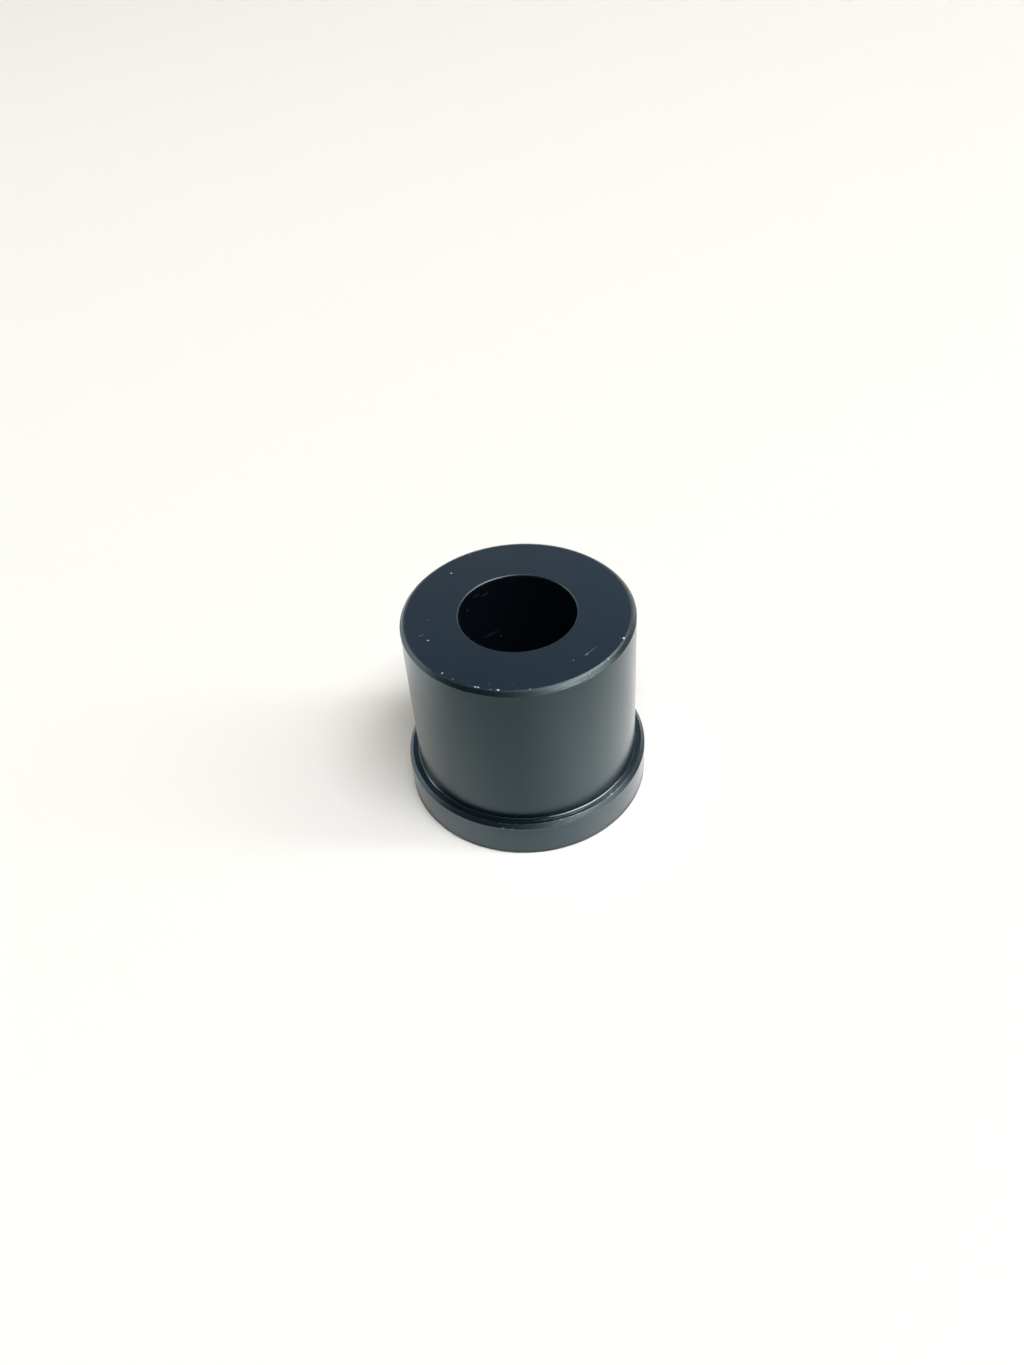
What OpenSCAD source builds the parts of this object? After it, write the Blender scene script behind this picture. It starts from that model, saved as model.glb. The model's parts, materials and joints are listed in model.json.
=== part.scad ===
// Steering column bushing: a flanged sleeve turned in one piece from black acetal bar.
// It stands on its flange. The bore's axis is Z, and the flange's end face lies at Z = 0.
// All sizes are in millimetres.

/* [Bore] */
// Diameter of the steering shaft that turns in the bore
shaft_d = 19.05; // [12:0.05:26]
// Room for the shaft to turn, taken on the diameter
running_clearance = 0.15; // [0.02:0.01:0.5]
// Chamfer that breaks the bore's edge at both ends
bore_break = 0.15; // [0.05:0.05:1]

/* [Body] */
// Outside diameter of the body, pressed into the column tube
body_d = 38.1; // [32:0.1:60]
// Length from the flange's end face to the top face
length = 35.5; // [18:0.5:80]
// Chamfer that leads the body into the tube
rim_chamfer = 0.7; // [0.2:0.05:1.5]

/* [Flange] */
// How far the flange stands out from the body, all round
flange_step = 1.75; // [1.4:0.05:8]
// Thickness of the flange
flange_t = 6.85; // [3:0.05:14]
// Chamfer on the outer edge of the shoulder
flange_chamfer = 0.6; // [0.2:0.05:0.8]
// Chamfer that breaks the edge of the flange's end face
base_break = 0.25; // [0.05:0.05:1]
// Radius left by the tool's nose where the shoulder meets the body
shoulder_fillet = 0.3; // [0.1:0.05:0.5]

/* [Hidden] */
bore_r = (shaft_d + running_clearance) / 2;
body_r = body_d / 2;
flange_r = body_r + flange_step;
// Centre of the fillet between shoulder and body, in the half section
corner_r = body_r + shoulder_fillet;
corner_z = flange_t + shoulder_fillet;
// How far the bore's cut runs past each end face
overcut = bore_break;
$fn = 128;

// Half section of the turned blank, up the axis and back down the outside of body and flange,
// with a square of stock left in the corner above the shoulder
module blank_section() {
    polygon([
        [0, 0],
        [0, length],
        [body_r - rim_chamfer, length],
        [body_r, length - rim_chamfer],
        [body_r, corner_z],
        [corner_r, corner_z],
        [corner_r, flange_t],
        [flange_r - flange_chamfer, flange_t],
        [flange_r, flange_t - flange_chamfer],
        [flange_r, base_break],
        [flange_r - base_break, 0]
    ]);
}

// Half section of the tool's round nose, which turns that corner to a fillet
module nose_section() {
    translate([corner_r, corner_z])
        circle(shoulder_fillet);
}

// Half section of what the bore takes out, flared at 45 degrees through both end faces
module bore_section() {
    mouth_r = bore_r + bore_break + overcut;
    polygon([
        [0, -overcut],
        [0, length + overcut],
        [mouth_r, length + overcut],
        [bore_r, length - bore_break],
        [bore_r, bore_break],
        [mouth_r, -overcut]
    ]);
}

module bushing() {
    color("#2b3238")
        rotate_extrude()
            difference() {
                blank_section();
                nose_section();
                bore_section();
            }
}

bushing();
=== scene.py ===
"""Looks of a steering column bushing: a flanged sleeve turned in one piece from black acetal bar.

The sleeve stands on its flange at the origin, with its bore along Z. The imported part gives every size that
something fits, and this script draws the turned surface with its broken edges, tool marks, nicks and
scratches. Lengths are in millimetres and angles in degrees until a mesh, lamp or camera is placed, which is
in metres. An angle round the axis is counted from +X towards +Y, so the camera faces the side at -90.
"""

import json
import math
from collections import namedtuple

import bpy
import numpy as np
from mathutils import Matrix, Vector


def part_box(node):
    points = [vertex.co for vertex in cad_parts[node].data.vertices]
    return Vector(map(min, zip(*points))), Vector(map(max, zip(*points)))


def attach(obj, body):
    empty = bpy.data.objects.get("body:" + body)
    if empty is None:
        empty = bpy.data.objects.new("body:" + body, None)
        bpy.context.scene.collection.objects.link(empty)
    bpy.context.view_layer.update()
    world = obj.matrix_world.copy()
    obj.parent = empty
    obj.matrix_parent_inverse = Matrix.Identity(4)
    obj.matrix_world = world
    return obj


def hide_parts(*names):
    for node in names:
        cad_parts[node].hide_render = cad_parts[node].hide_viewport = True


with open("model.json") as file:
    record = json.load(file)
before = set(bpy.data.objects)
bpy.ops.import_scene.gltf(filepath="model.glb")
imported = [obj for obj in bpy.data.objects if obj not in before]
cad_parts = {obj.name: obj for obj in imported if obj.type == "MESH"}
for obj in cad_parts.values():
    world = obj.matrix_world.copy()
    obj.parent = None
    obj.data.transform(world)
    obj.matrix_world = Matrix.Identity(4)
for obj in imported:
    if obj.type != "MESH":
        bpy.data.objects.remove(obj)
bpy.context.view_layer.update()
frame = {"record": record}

MM = 0.001
scene = bpy.context.scene
scene.view_settings.view_transform = "Standard"


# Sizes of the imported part

mounts = {mount["name"]: mount for mount in frame["record"]["mounts"]}
bore = mounts["bore"]
tube_seat = mounts["tube_seat"]
part_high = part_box("bushing")[1]

length = part_high.z / MM
flange_r = part_high.x / MM
shoulder_z = mounts["shoulder"]["pos_m"][2] / MM
bore_r = bore["dims"]["r_mm"]
body_r = tube_seat["dims"]["r_mm"]
seat_middle = tube_seat["pos_m"][2] / MM
seat_half = tube_seat["dims"]["length_mm"] / 2
# The seat runs from the top of the shoulder's fillet to the foot of the rim's chamfer
rim_chamfer = length - (seat_middle + seat_half)
fillet_r = seat_middle - seat_half - shoulder_z
bore_break = (length - bore["dims"]["length_mm"]) / 2
# Edges that nothing fits
flange_chamfer = 0.6
base_break = 0.25
# The rim's chamfer ends in a second, shallower bevel that was scraped by hand
bevel_reach = 0.27
bevel_drop = 0.13
# Turned edges are not quite sharp
sharp_r = 0.07
lower_edge_r = 0.10
upper_edge_r = 0.15
base_edge_r = 0.35


# The turned surface

Side = namedtuple("Side", "name radius height rounding stations map_share")
# Each side of the half section starts at a corner and runs to the next one: out along the end face, up the
# outside, in along the top face and down the bore
sides = [
    Side("end_face", bore_r + bore_break, 0.0, sharp_r, 3, 0.3),
    Side("base_break", flange_r - base_break, 0.0, base_edge_r, 1, 0.5),
    Side("flange_wall", flange_r, base_break, base_edge_r, 5, 1.0),
    Side("flange_chamfer", flange_r, shoulder_z - flange_chamfer, lower_edge_r, 4, 2.0),
    Side("shoulder", flange_r - flange_chamfer, shoulder_z, upper_edge_r, 5, 2.0),
    Side("body_wall", body_r, shoulder_z, fillet_r, 10, 1.0),
    Side("rim_chamfer", body_r, length - rim_chamfer, lower_edge_r, 5, 2.0),
    Side("rim_bevel", body_r - rim_chamfer + bevel_drop, length - bevel_drop, sharp_r, 2, 2.0),
    Side("top_face", body_r - rim_chamfer - bevel_reach, length, upper_edge_r, 12, 2.0),
    Side("upper_bore_break", bore_r + bore_break, length, sharp_r, 1, 2.0),
    Side("bore_wall", bore_r, length - bore_break, sharp_r, 4, 0.3),
    Side("lower_bore_break", bore_r, bore_break, sharp_r, 1, 0.5),
]
columns_per_turn = 840
arc_step = 11.25
# How strongly the stations of a straight stretch crowd towards its ends
crowding = 2.2

Nick = namedtuple("Nick", "angle radius height half_length half_width depth pale")
# Nicks on the edges, by the angle round the axis and the place in the half section of their middle
nicks = [
    Nick(114.5, 17.9, 35.5, 0.18, 0.10, 0.03, 0.5),
    Nick(-178.0, 18.1, 35.5, 0.15, 0.10, 0.03, 0.4),
    Nick(-140.0, 18.3, 35.5, 0.45, 0.07, 0.03, 0.5),
    Nick(-132.5, 17.9, 35.5, 0.15, 0.15, 0.04, 0.9),
    Nick(-125.5, 18.05, 35.5, 0.35, 0.06, 0.03, 0.5),
    Nick(-119.5, 18.25, 35.45, 0.55, 0.07, 0.03, 0.6),
    Nick(-116.8, 18.25, 35.45, 0.22, 0.11, 0.05, 0.8),
    Nick(-113.0, 18.2, 35.5, 0.28, 0.11, 0.05, 0.9),
    Nick(-111.5, 18.2, 35.5, 0.16, 0.13, 0.05, 1.0),
    Nick(-105.3, 18.2, 35.5, 0.22, 0.08, 0.03, 0.7),
    Nick(-101.7, 18.2, 35.5, 0.26, 0.14, 0.06, 1.0),
    Nick(-86.6, 18.2, 35.5, 0.16, 0.13, 0.04, 0.7),
    Nick(-77.4, 18.25, 35.45, 0.14, 0.10, 0.03, 0.4),
    Nick(-56.9, 18.65, 35.2, 0.16, 0.14, 0.04, 0.8),
    Nick(-57.0, 18.95, 34.9, 0.20, 0.14, 0.06, 0.0),
    Nick(-43.9, 18.35, 35.4, 0.16, 0.15, 0.04, 0.8),
    Nick(-27.1, 18.15, 35.5, 0.20, 0.20, 0.08, 1.1),
    Nick(-103.7, 20.77, 6.27, 0.30, 0.07, 0.03, 0.6),
    Nick(-99.7, 20.77, 6.27, 0.12, 0.08, 0.03, 0.7),
    Nick(-98.2, 19.88, 6.85, 0.16, 0.14, 0.03, 0.6),
    Nick(-76.8, 20.1, 6.83, 0.22, 0.08, 0.03, 0.6),
    Nick(-72.2, 20.75, 6.3, 0.25, 0.07, 0.03, 0.5),
    Nick(-49.5, 20.62, 6.43, 0.10, 0.10, 0.03, 0.6),
    Nick(-48.1, 20.1, 6.83, 0.14, 0.12, 0.04, 0.9),
    Nick(-112.4, 20.8, 1.8, 0.12, 0.12, 0.05, 0.0),
]
# The flange's far side gets as many as its near side, spread over its half turn by steps of the golden share
far_nicks = 8
far_start, far_span = 5.0, 170.0
golden_share = 0.618
for step in range(1, far_nicks + 1):
    far_angle = far_start + far_span * (golden_share * step % 1)
    nicks.append(Nick(far_angle, 20.7, 6.35, 0.20, 0.10, 0.03, 0.7))


def turned_section():
    """Walks the closed half section once and returns, for each station, its radius and height, its outward
    normal, its side's number and its edge: 1 on a rounded edge, -1 in a fillet and 0 on a straight stretch.

    Each corner is cut back along both of its sides by rounding * tan(turn / 2), and an arc of that rounding
    turns from one side's direction to the next. On the straight stretch that follows, the stations stand at
    shares u^p / (u^p + (1 - u)^p) of its length, which crowd towards both ends.
    """
    corners = np.array([[side.radius, side.height] for side in sides])
    rounding = np.array([side.rounding for side in sides])
    along = np.roll(corners, -1, axis=0) - corners
    along /= np.linalg.norm(along, axis=1, keepdims=True)
    before = np.roll(along, 1, axis=0)
    turn = np.arctan2(before[:, 0] * along[:, 1] - before[:, 1] * along[:, 0], (before * along).sum(axis=1))
    heading = np.arctan2(before[:, 1], before[:, 0])
    cut = rounding * np.tan(np.abs(turn) / 2)
    arc_start = corners - before * cut[:, None]
    arc_end = corners + along * cut[:, None]
    stretches = []
    for number, side in enumerate(sides):
        steps = math.ceil(abs(math.degrees(turn[number])) / arc_step)
        headings = heading[number] + turn[number] * np.linspace(0, 1, steps + 1)
        lefts = np.stack([-np.sin(headings), np.cos(headings)], axis=1)
        lefts *= math.copysign(side.rounding, turn[number])
        arc = arc_start[number] + lefts[0] - lefts
        shares = np.arange(1, side.stations + 1) / (side.stations + 1)
        shares = shares**crowding / (shares**crowding + (1 - shares) ** crowding)
        straight_end = arc_start[(number + 1) % len(sides)]
        straight = arc_end[number] + shares[:, None] * (straight_end - arc_end[number])
        headings = np.append(headings, np.full(side.stations, headings[-1]))
        normals = np.stack([np.sin(headings), -np.cos(headings)], axis=1)
        edge = np.append(np.full(steps + 1, np.sign(turn[number])), np.zeros(side.stations))
        stretches.append((np.concatenate([arc, straight]), normals, np.full(len(edge), number), edge))
    return [np.concatenate(columns) for columns in zip(*stretches)]


def nick_depths(section, angles):
    """Depth and paleness of the nicked surface at each station and angle, from the sum and the largest of
    the nicks' bells exp(-(arc / half_length)^2 - (distance / half_width)^2), where the distance is taken in
    the half section and the arc round the axis."""
    depth = np.zeros((len(section), len(angles)))
    pale = np.zeros_like(depth)
    for nick in nicks:
        away = angles - math.radians(nick.angle)
        arc = nick.radius * np.abs(np.arctan2(np.sin(away), np.cos(away))) / nick.half_length
        distance = np.hypot(section[:, 0] - nick.radius, section[:, 1] - nick.height) / nick.half_width
        bell = np.exp(-(distance[:, None] ** 2) - arc[None, :] ** 2)
        depth += nick.depth * bell
        pale = np.maximum(pale, nick.pale * bell)
    return depth, pale


def grid_faces(rows, columns):
    """Four-sided faces of a grid that closes on itself both ways, each from a row and the next, and from a
    column and the next, turned so that they face outwards."""
    row, column = np.meshgrid(np.arange(rows), np.arange(columns), indexing="ij")
    next_row = (row + 1) % rows
    next_column = (column + 1) % columns
    corners = [(row, column), (row, next_column), (next_row, next_column), (next_row, column)]
    return np.stack([r * columns + c for r, c in corners], axis=-1).reshape(-1, 4)


def grid_map(shares, columns):
    """Flat map of the grid's faces in the same order: a column's number over all columns one way, and the
    share of the half section behind a row the other way."""
    row, column = np.meshgrid(np.arange(len(shares) - 1), np.arange(columns), indexing="ij")
    left, right = column / columns, (column + 1) / columns
    low, high = shares[row], shares[row + 1]
    corners = [(left, low), (right, low), (right, high), (left, high)]
    return np.stack([np.stack(corner, axis=-1) for corner in corners], axis=-2)


def turned_bushing():
    """The half section carried round Z: each station at radius r and height z becomes the ring
    (r cos a, r sin a, z), pressed in along its normal by the depth of the nicks there."""
    # A tool's feed of about 0.15 mm is too fine to show, so its lines are drawn wider apart
    line_spacing = {"shoulder": 0.3}
    usual_spacing = 0.4
    line_depth = {"shoulder": 0.12, "rim_chamfer": 0.02, "rim_bevel": 0.02, "flange_chamfer": 0.03}
    usual_depth = 0.003
    chatter_depth = {"rim_chamfer": 0.014, "rim_bevel": 0.014, "flange_chamfer": 0.02}
    # The bore's edge is broken by hand and dull, the bevel and the chamfers are a little duller than the
    # walls, and the tool's nose leaves the fillet bright
    roughness = {
        "upper_bore_break": 0.45,
        "lower_bore_break": 0.45,
        "rim_bevel": 0.32,
        "rim_chamfer": 0.28,
        "flange_chamfer": 0.28,
    }
    usual_roughness = 0.24
    fillet_roughness = 0.08

    section, normals, side_numbers, edge = turned_section()
    angles = np.linspace(-math.pi, math.pi, columns_per_turn, endpoint=False)
    depth, pale = nick_depths(section, angles)
    radius = section[:, 0, None] - normals[:, 0, None] * depth
    height = section[:, 1, None] - normals[:, 1, None] * depth
    points = np.stack([radius * np.cos(angles), radius * np.sin(angles), height], axis=-1)
    mesh = bpy.data.meshes.new("turned_bushing")
    mesh.from_pydata(points.reshape(-1, 3) * MM, [], grid_faces(*depth.shape))
    mesh.shade_smooth()

    steps = np.linalg.norm(np.roll(section, -1, axis=0) - section, axis=1)
    names = [sides[number].name for number in side_numbers]
    spacing = np.array([line_spacing.get(name, usual_spacing) for name in names])
    side_roughness = np.array([roughness.get(name, usual_roughness) for name in names])
    station_values = {
        "tool_lines": np.concatenate([[0.0], np.cumsum(steps / spacing)[:-1]]),
        "line_depth": np.array([line_depth.get(name, usual_depth) for name in names]),
        "chatter_depth": np.array([chatter_depth.get(name, 0.0) for name in names]),
        "turned_roughness": np.where(edge < 0, fillet_roughness, side_roughness),
        "worn_edge": np.maximum(edge, 0.0),
    }
    values = {name: np.repeat(value, len(angles)) for name, value in station_values.items()}
    values["pale"] = pale.ravel()
    for name, value in values.items():
        attribute = mesh.attributes.new(name, "FLOAT", "POINT")
        attribute.data.foreach_set("value", value.astype(np.float32))

    shares = steps * np.array([sides[number].map_share for number in side_numbers])
    shares = np.concatenate([[0.0], np.cumsum(shares)]) / shares.sum()
    bake_map = mesh.uv_layers.new(name="OFBake")
    bake_map.uv.foreach_set("vector", grid_map(shares, len(angles)).astype(np.float32).ravel())
    piece = bpy.data.objects.new("turned_bushing", mesh)
    scene.collection.objects.link(piece)
    return piece


# Materials

def linear_colour(code):
    """A hex sRGB colour as linear red, green, blue and full alpha: c / 12.92 below 0.04045, and otherwise
    ((c + 0.055) / 1.055)^2.4."""
    parts = [int(code[i : i + 2], 16) / 255 for i in (1, 3, 5)]
    return [c / 12.92 if c < 0.04045 else ((c + 0.055) / 1.055) ** 2.4 for c in parts] + [1.0]


def add_node(tree, kind, settings, inputs, output=0):
    """Adds a node, sets its own settings, gives each input, by name or number, a value or a link from
    another node's output, and returns one of its outputs."""
    node = tree.nodes.new(kind)
    for name, value in settings.items():
        setattr(node, name, value)
    for key, value in inputs.items():
        if isinstance(value, bpy.types.NodeSocket):
            tree.links.new(value, node.inputs[key])
        else:
            node.inputs[key].default_value = value
    return node.outputs[output]


# Settings that many nodes share
ADD = {"operation": "ADD"}
MULTIPLY = {"operation": "MULTIPLY"}
MULTIPLY_ADD = {"operation": "MULTIPLY_ADD"}
MAXIMUM = {"operation": "MAXIMUM"}
DOT_PRODUCT = {"operation": "DOT_PRODUCT"}
LENGTH = {"operation": "LENGTH"}
NORMALIZE = {"operation": "NORMALIZE"}
SMOOTH = {"interpolation_type": "SMOOTHSTEP"}
NUMBERS = {"data_type": "FLOAT"}
COLOURS = {"data_type": "RGBA"}

Mark = namedtuple("Mark", "angle radius height long wide heading pale")
# Scratches and specks on the faces, and faint pale spots and streaks in the bore, where heading is a mark's
# direction seen from above
marks = [
    Mark(132.8, 15.55, 35.5, 0.45, 0.40, 0, 1.0),
    Mark(-178.7, 14.35, 35.5, 1.30, 0.18, -7, 0.10),
    Mark(-165.2, 15.9, 35.5, 1.50, 0.22, 32, 0.14),
    Mark(-159.4, 15.3, 35.5, 0.55, 0.34, 0, 0.7),
    Mark(-107.0, 17.2, 35.5, 0.35, 0.25, 0, 0.12),
    Mark(-95.0, 16.85, 35.5, 0.35, 0.25, 0, 0.10),
    Mark(-57.5, 14.85, 35.5, 0.35, 0.45, 0, 0.25),
    Mark(-48.2, 15.2, 35.5, 1.20, 0.36, 42, 0.25),
    Mark(-44.7, 15.2, 35.5, 3.70, 0.24, 42, 0.15),
    Mark(-27.8, 17.7, 35.5, 1.00, 0.20, 0, 0.08),
    Mark(-143.3, 19.05, 10.45, 0.30, 0.30, 0, 0.3),
    Mark(-66.5, 20.8, 2.4, 0.30, 0.30, 0, 0.2),
    Mark(149.1, 9.6, 32.5, 0.60, 0.60, 0, 0.07),
    Mark(134.0, 9.55, 33.9, 2.40, 0.80, 44, 0.025),
    Mark(123.0, 9.55, 33.1, 2.40, 0.80, 33, 0.025),
    Mark(119.6, 9.5, 24.1, 4.40, 1.00, 30, 0.025),
    Mark(109.2, 9.6, 22.9, 0.60, 0.60, 0, 0.06),
]


def turned_acetal():
    """Black acetal as it leaves the lathe: a dark, slightly blue satin plastic. The tool leaves fine lines
    round the axis, handling leaves faint smudges, and a nick or scratch shows as pale torn plastic."""
    # How many times a line's weight changes in one turn of the lathe
    line_changes = 3.0
    chatter_size = 0.35
    smudge_size = 12.0
    smudge_roughness = 0.04
    grain_size = 0.2
    # How far wear on an edge and the grain go towards torn plastic, and where that starts and ends
    edge_wear = 0.18
    grain_share = 0.7
    torn_start, torn_end = 0.55, 1.15
    torn_roughness = 0.6
    # Share of a mark's reach within which it is at its palest
    mark_core = 0.2
    plain_colour, smudged_colour, torn_colour = "#050b12", "#091017", "#c6cecf"
    gloss_tint = "#bfecf8"

    material = bpy.data.materials.new("black_acetal_as_turned")
    material.use_nodes = True
    tree = material.node_tree
    shader = tree.nodes["Principled BSDF"]
    shader.inputs["IOR"].default_value = 1.48
    shader.inputs["Specular IOR Level"].default_value = 0.6
    shader.inputs["Specular Tint"].default_value = linear_colour(gloss_tint)

    place = add_node(tree, "ShaderNodeTexCoord", {}, {}, "Object")
    given = {}
    for name in ("tool_lines", "line_depth", "chatter_depth", "turned_roughness", "worn_edge", "pale"):
        given[name] = add_node(tree, "ShaderNodeAttribute", {"attribute_name": name}, {}, "Fac")

    # Tool lines: noise that changes quickly across the feed and slowly round the axis
    around = add_node(tree, "ShaderNodeVectorMath", MULTIPLY, {0: place, 1: (1, 1, 0)})
    around = add_node(tree, "ShaderNodeVectorMath", NORMALIZE, {0: around})
    turning = {0: around, "Scale": line_changes}
    around = add_node(tree, "ShaderNodeVectorMath", {"operation": "SCALE"}, turning)
    across = add_node(tree, "ShaderNodeCombineXYZ", {}, {"Z": given["tool_lines"]})
    line_place = add_node(tree, "ShaderNodeVectorMath", ADD, {0: around, 1: across})
    lines = add_node(tree, "ShaderNodeTexNoise", {}, {"Vector": line_place, "Scale": 1.0, "Detail": 3.0})
    pattern = {"Vector": place, "Scale": 1 / (chatter_size * MM), "Detail": 2.0}
    chatter = add_node(tree, "ShaderNodeTexNoise", {}, pattern)
    chatter = add_node(tree, "ShaderNodeMath", MULTIPLY, {0: chatter, 1: given["chatter_depth"]})
    # Line height plus chatter height, in millimetres
    relief = add_node(tree, "ShaderNodeMath", MULTIPLY_ADD, {0: lines, 1: given["line_depth"], 2: chatter})
    bump = add_node(tree, "ShaderNodeBump", {}, {"Strength": 1.0, "Distance": MM, "Height": relief})

    # Torn plastic: the nicks and a faint broken line along the edges, both ragged. Then the marks, drawn
    # pale
    pattern = {"Vector": place, "Scale": 1 / (grain_size * MM), "Detail": 2.0}
    grain = add_node(tree, "ShaderNodeTexNoise", {}, pattern)
    wear = add_node(tree, "ShaderNodeMath", MULTIPLY, {0: given["worn_edge"], 1: edge_wear})
    wear = add_node(tree, "ShaderNodeMath", MAXIMUM, {0: wear, 1: given["pale"]})
    ragged = add_node(tree, "ShaderNodeMath", MULTIPLY_ADD, {0: grain, 1: grain_share, 2: wear})
    ramp = {"Value": ragged, "From Min": torn_start, "From Max": torn_end, "To Min": 0.0, "To Max": 1.0}
    pale = add_node(tree, "ShaderNodeMapRange", SMOOTH, ramp)
    for mark in marks:
        angle = math.radians(mark.angle)
        middle = Vector((mark.radius * math.cos(angle), mark.radius * math.sin(angle), mark.height))
        frame_of_mark = {
            "Vector": place,
            "Location": middle * MM,
            "Rotation": (0, 0, math.radians(mark.heading)),
            "Scale": Vector((mark.long, mark.wide, mark.wide)) * MM / 2,
        }
        local = add_node(tree, "ShaderNodeMapping", {"vector_type": "TEXTURE"}, frame_of_mark)
        reach = add_node(tree, "ShaderNodeVectorMath", LENGTH, {0: local}, "Value")
        ramp = {"Value": reach, "From Min": 1.0, "From Max": mark_core, "To Min": 0.0, "To Max": mark.pale}
        spot = add_node(tree, "ShaderNodeMapRange", SMOOTH, ramp)
        pale = add_node(tree, "ShaderNodeMath", MAXIMUM, {0: pale, 1: spot})

    # Smudges change the gloss and, a little, the colour
    pattern = {"Vector": place, "Scale": 1 / (smudge_size * MM), "Detail": 2.0}
    smudge = add_node(tree, "ShaderNodeTexNoise", {}, pattern)
    gloss = {0: smudge, 1: smudge_roughness, 2: given["turned_roughness"]}
    gloss = add_node(tree, "ShaderNodeMath", MULTIPLY_ADD, gloss)
    gloss = add_node(tree, "ShaderNodeMix", NUMBERS, {"Factor": pale, 2: gloss, 3: torn_roughness})
    shades = {"Factor": smudge, 6: linear_colour(plain_colour), 7: linear_colour(smudged_colour)}
    plain = add_node(tree, "ShaderNodeMix", COLOURS, shades, 2)
    shades = {"Factor": pale, 6: plain, 7: linear_colour(torn_colour)}
    colour = add_node(tree, "ShaderNodeMix", COLOURS, shades, 2)
    tree.links.new(colour, shader.inputs["Base Color"])
    tree.links.new(gloss, shader.inputs["Roughness"])
    tree.links.new(bump, shader.inputs["Normal"])
    return material


def direction(azimuth, elevation):
    """Unit vector at an angle round Z from +X and an angle above the floor."""
    a, e = math.radians(azimuth), math.radians(elevation)
    return Vector((math.cos(a) * math.cos(e), math.sin(a) * math.cos(e), math.sin(e)))


Glow = namedtuple("Glow", "azimuth start_cosine full_cosine level start full")
# Light that only reflections see on the floor. Each glow fades in between two angles off its azimuth, given
# by their cosines, and between two distances from the axis
glows = [
    Glow(-110.0, -0.2, 0.4, 0.08, 50.0, 32.0),
    Glow(-95.0, 0.5, 0.9, 0.38, 29.0, 23.0),
    Glow(-33.0, 0.78, 0.96, 0.22, 54.0, 40.0),
    Glow(-12.0, 0.0, 0.75, 0.60, 80.0, 45.0),
    Glow(158.0, 0.6, 0.95, 0.56, 39.0, 49.0),
]


def white_sheet():
    """The pale floor: matt white, so that it is white in the picture and still takes the shadow. Reflections
    see glows on it, and painted shade, a dark colour, in the gap under the edge of the flange."""
    gap_start, gap_end = 20.7, 21.4
    # The second colour is painted shade: reflections see it on the floor under the flange's edge
    sheet_colour, painted_shade_colour = "#f2f2f0", "#202020"

    material = bpy.data.materials.new("matt_white_sheet")
    material.use_nodes = True
    tree = material.node_tree
    shader = tree.nodes["Principled BSDF"]
    shader.inputs["Roughness"].default_value = 0.9
    shader.inputs["Specular IOR Level"].default_value = 0.0
    shader.inputs["Emission Color"].default_value = linear_colour("#ffffff")

    place = add_node(tree, "ShaderNodeTexCoord", {}, {}, "Object")
    radius = add_node(tree, "ShaderNodeVectorMath", LENGTH, {0: place}, "Value")
    outward = add_node(tree, "ShaderNodeVectorMath", NORMALIZE, {0: place})
    mirrored = 0.0
    for glow in glows:
        towards = direction(glow.azimuth, 0.0)
        cosine = add_node(tree, "ShaderNodeVectorMath", DOT_PRODUCT, {0: outward, 1: towards}, "Value")
        ramp = {"Value": cosine, "From Min": glow.start_cosine, "From Max": glow.full_cosine}
        ramp["To Max"] = glow.level
        share = add_node(tree, "ShaderNodeMapRange", SMOOTH, ramp)
        ramp = {"Value": radius, "From Min": glow.start * MM, "From Max": glow.full * MM}
        reach = add_node(tree, "ShaderNodeMapRange", SMOOTH, ramp)
        mirrored = add_node(tree, "ShaderNodeMath", MULTIPLY_ADD, {0: share, 1: reach, 2: mirrored})
    # Inside this gap the glows are cut off and reflections see painted shade instead of the sheet
    ramp = {"Value": radius, "From Min": gap_start * MM, "From Max": gap_end * MM}
    gap = add_node(tree, "ShaderNodeMapRange", SMOOTH, ramp)
    mirrored = add_node(tree, "ShaderNodeMath", MULTIPLY, {0: mirrored, 1: gap})

    glossy = add_node(tree, "ShaderNodeLightPath", {}, {}, "Is Glossy Ray")
    mirrored = add_node(tree, "ShaderNodeMath", MULTIPLY, {0: mirrored, 1: glossy})
    closed = add_node(tree, "ShaderNodeMath", {"operation": "SUBTRACT"}, {0: 1.0, 1: gap})
    closed = add_node(tree, "ShaderNodeMath", MULTIPLY, {0: closed, 1: glossy})
    shades = {"Factor": closed, 6: linear_colour(sheet_colour), 7: linear_colour(painted_shade_colour)}
    colour = add_node(tree, "ShaderNodeMix", COLOURS, shades, 2)
    tree.links.new(colour, shader.inputs["Base Color"])
    tree.links.new(mirrored, shader.inputs["Emission Strength"])
    return material


# Floor, light and camera

def floor_sheet():
    """A flat disc of points (R cos a, R sin a) just under the bushing."""
    radius_m = 3.0
    gap = 0.02
    corners = 96
    angles = np.linspace(0, 2 * math.pi, corners, endpoint=False)
    heights = np.full(corners, -gap * MM)
    points = np.stack([radius_m * np.cos(angles), radius_m * np.sin(angles), heights], axis=1)
    mesh = bpy.data.meshes.new("floor_sheet")
    mesh.from_pydata(points, [], [np.arange(corners)])
    mesh.materials.append(white_sheet())
    floor = bpy.data.objects.new("floor_sheet", mesh)
    scene.collection.objects.link(floor)


def soft_box(name, azimuth, elevation, wide, high, radiance, colour):
    """A rectangular lamp that faces the bushing from afar and spans two angles as seen from it. Its power is
    pi times its area times its radiance."""
    distance_m = 4.0
    lamp = bpy.data.lights.new(name, "AREA")
    lamp.shape = "RECTANGLE"
    lamp.size = 2 * distance_m * math.tan(math.radians(wide / 2))
    lamp.size_y = 2 * distance_m * math.tan(math.radians(high / 2))
    lamp.energy = math.pi * lamp.size * lamp.size_y * radiance
    lamp.color = linear_colour(colour)[:3]
    box = bpy.data.objects.new(name, lamp)
    towards = direction(azimuth, elevation)
    box.location = towards * distance_m
    box.rotation_euler = towards.to_track_quat("Z", "Y").to_euler()
    box.visible_camera = False
    scene.collection.objects.link(box)
    return box


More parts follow.
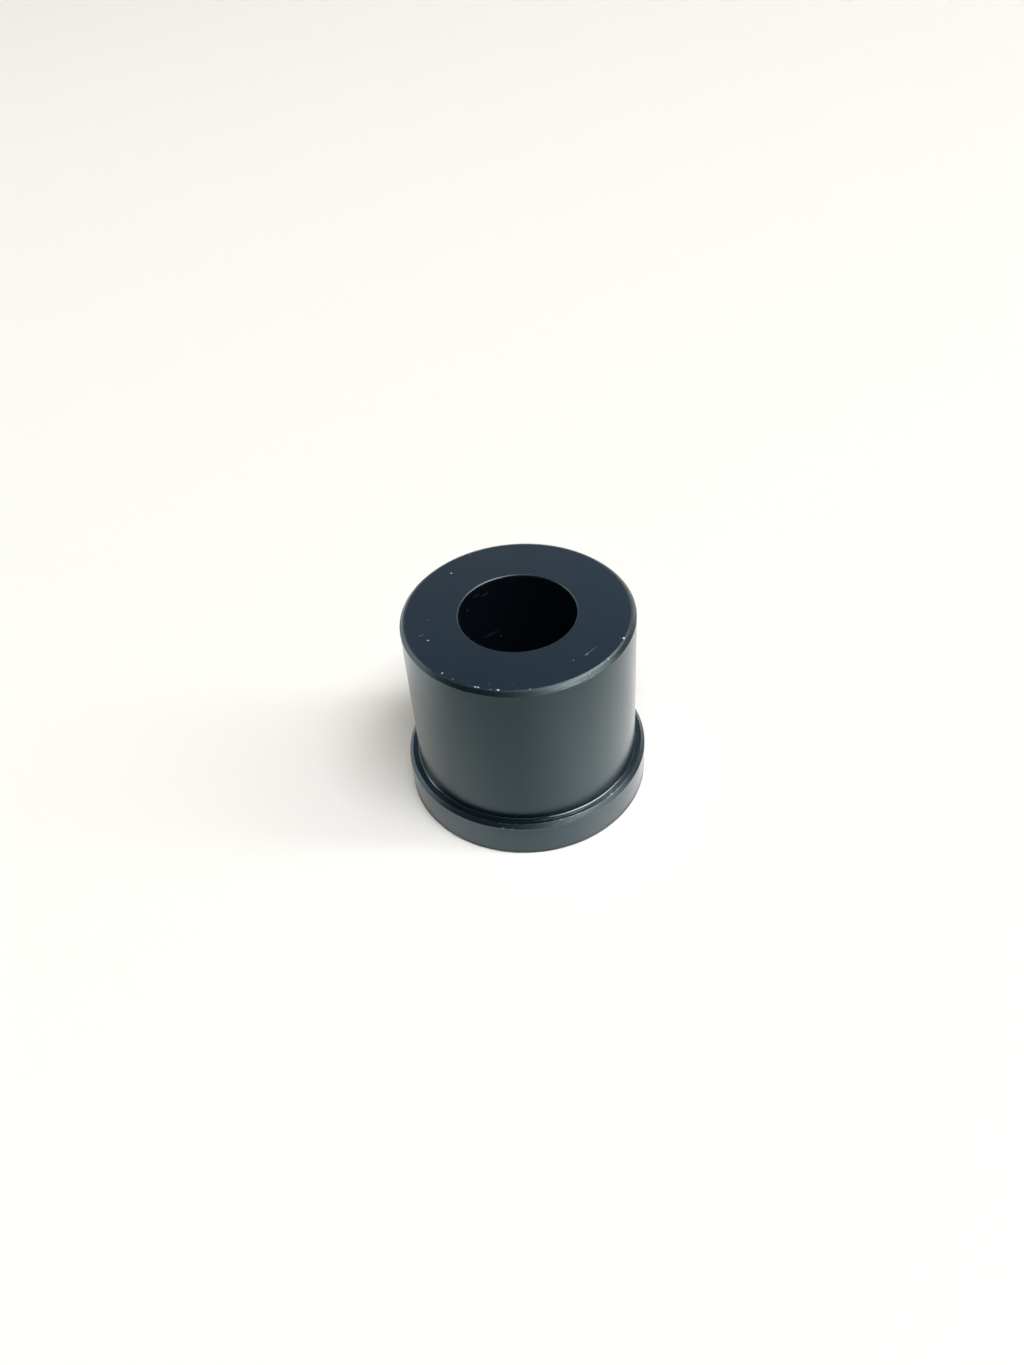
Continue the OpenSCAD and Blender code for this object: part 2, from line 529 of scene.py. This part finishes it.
def studio_world():
    """Soft, slightly warm light from all round. What the eye and reflections see of it is white near the
    floor and a dimmer blue higher up, with places that are darker or brighter."""
    fill_level = 0.14
    fill_colour = "#ffe9b0"
    low_colour = "#f0f9ff"
    high_level = 0.59
    high_colour = "#c2d6fa"
    low_sine, high_sine = 0.45, 0.70
    # Direction, cosines of the angles from it between which the place fades in, and its factor
    places = [
        (direction(-142.0, 38.0), 0.78, 0.96, 0.08),
        (direction(55.0, 40.0), 0.86, 0.99, 1.3),
        (direction(8.0, 20.0), 0.93, 0.99, 0.55),
    ]

    world = bpy.data.worlds.new("studio")
    world.use_nodes = True
    scene.world = world
    tree = world.node_tree
    tree.nodes.clear()
    towards = add_node(tree, "ShaderNodeTexCoord", {}, {}, "Generated")
    rise = add_node(tree, "ShaderNodeSeparateXYZ", {}, {"Vector": towards}, "Z")
    ramp = {"Value": rise, "From Min": low_sine, "From Max": high_sine}
    height = add_node(tree, "ShaderNodeMapRange", SMOOTH, ramp)
    level = add_node(tree, "ShaderNodeMix", NUMBERS, {"Factor": height, 2: 1.0, 3: high_level})
    for place, fade_start, fade_end, factor in places:
        nearness = add_node(tree, "ShaderNodeVectorMath", DOT_PRODUCT, {0: towards, 1: place}, "Value")
        ramp = {"Value": nearness, "From Min": fade_start, "From Max": fade_end, "To Min": 1.0}
        ramp["To Max"] = factor
        change = add_node(tree, "ShaderNodeMapRange", SMOOTH, ramp)
        level = add_node(tree, "ShaderNodeMath", MULTIPLY, {0: level, 1: change})

    path = add_node(tree, "ShaderNodeLightPath", {}, {}).node.outputs
    seen = add_node(tree, "ShaderNodeMath", ADD, {0: path["Is Camera Ray"], 1: path["Is Glossy Ray"]})
    seen = add_node(tree, "ShaderNodeMath", ADD, {0: seen, 1: path["Is Transmission Ray"]})
    strength = add_node(tree, "ShaderNodeMix", NUMBERS, {"Factor": seen, 2: fill_level, 3: level})
    shades = {"Factor": height, 6: linear_colour(low_colour), 7: linear_colour(high_colour)}
    colour = add_node(tree, "ShaderNodeMix", COLOURS, shades, 2)
    shades = {"Factor": seen, 6: linear_colour(fill_colour), 7: colour}
    colour = add_node(tree, "ShaderNodeMix", COLOURS, shades, 2)
    background = add_node(tree, "ShaderNodeBackground", {}, {"Color": colour, "Strength": strength})
    tree.links.new(background, tree.nodes.new("ShaderNodeOutputWorld").inputs["Surface"])


def photo_camera():
    """A camera in front of the bushing, set back and up from the middle of its foot, aimed at a point near
    the axis and rolled a little about its own view."""
    lens_mm = 30.0
    distance = 207.1
    elevation = 47.15
    aim = Vector((-1.80, 0.0, 20.12))
    roll = -4.75
    view = bpy.data.cameras.new("photo_camera")
    view.lens = lens_mm
    view.clip_start = 0.01
    camera = bpy.data.objects.new("photo_camera", view)
    place = direction(-90.0, elevation) * distance
    turn = (aim - place).to_track_quat("-Z", "Y").to_matrix() @ Matrix.Rotation(math.radians(roll), 3, "Z")
    camera.matrix_world = Matrix.LocRotScale(place * MM, turn, None)
    scene.collection.objects.link(camera)
    scene.camera = camera


photo_camera()
floor_sheet()
studio_world()
# Two boxes light the floor and cast the shadow, and are not mirrored. The others are only mirrored
soft_box("key_box", -62.0, 68.0, 44.0, 22.0, 11.0, "#fbfcff").visible_glossy = False
soft_box("side_box", -5.0, 38.0, 8.4, 39.0, 8.0, "#ffffff").visible_glossy = False
soft_box("front_glint", -37.0, 33.0, 66.0, 18.0, 6.0, "#ffe2d6").visible_diffuse = False
soft_box("overhead_glint", -13.0, 61.0, 45.0, 27.0, 34.0, "#ffe2d8").visible_diffuse = False
soft_box("upper_glint", 46.0, 55.0, 12.0, 38.0, 2.1, "#fff2ea").visible_diffuse = False
soft_box("left_glint", 155.0, 15.0, 50.0, 20.0, 1.5, "#ffffff").visible_diffuse = False
soft_box("high_left_glint", 160.0, 35.0, 12.0, 12.0, 20.0, "#ffe9e0").visible_diffuse = False
soft_box("right_glint", 50.0, 3.0, 24.0, 8.0, 3.0, "#ffffff").visible_diffuse = False

bushing = turned_bushing()
bushing.data.materials.append(turned_acetal())
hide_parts("bushing")
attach(bushing, "root")
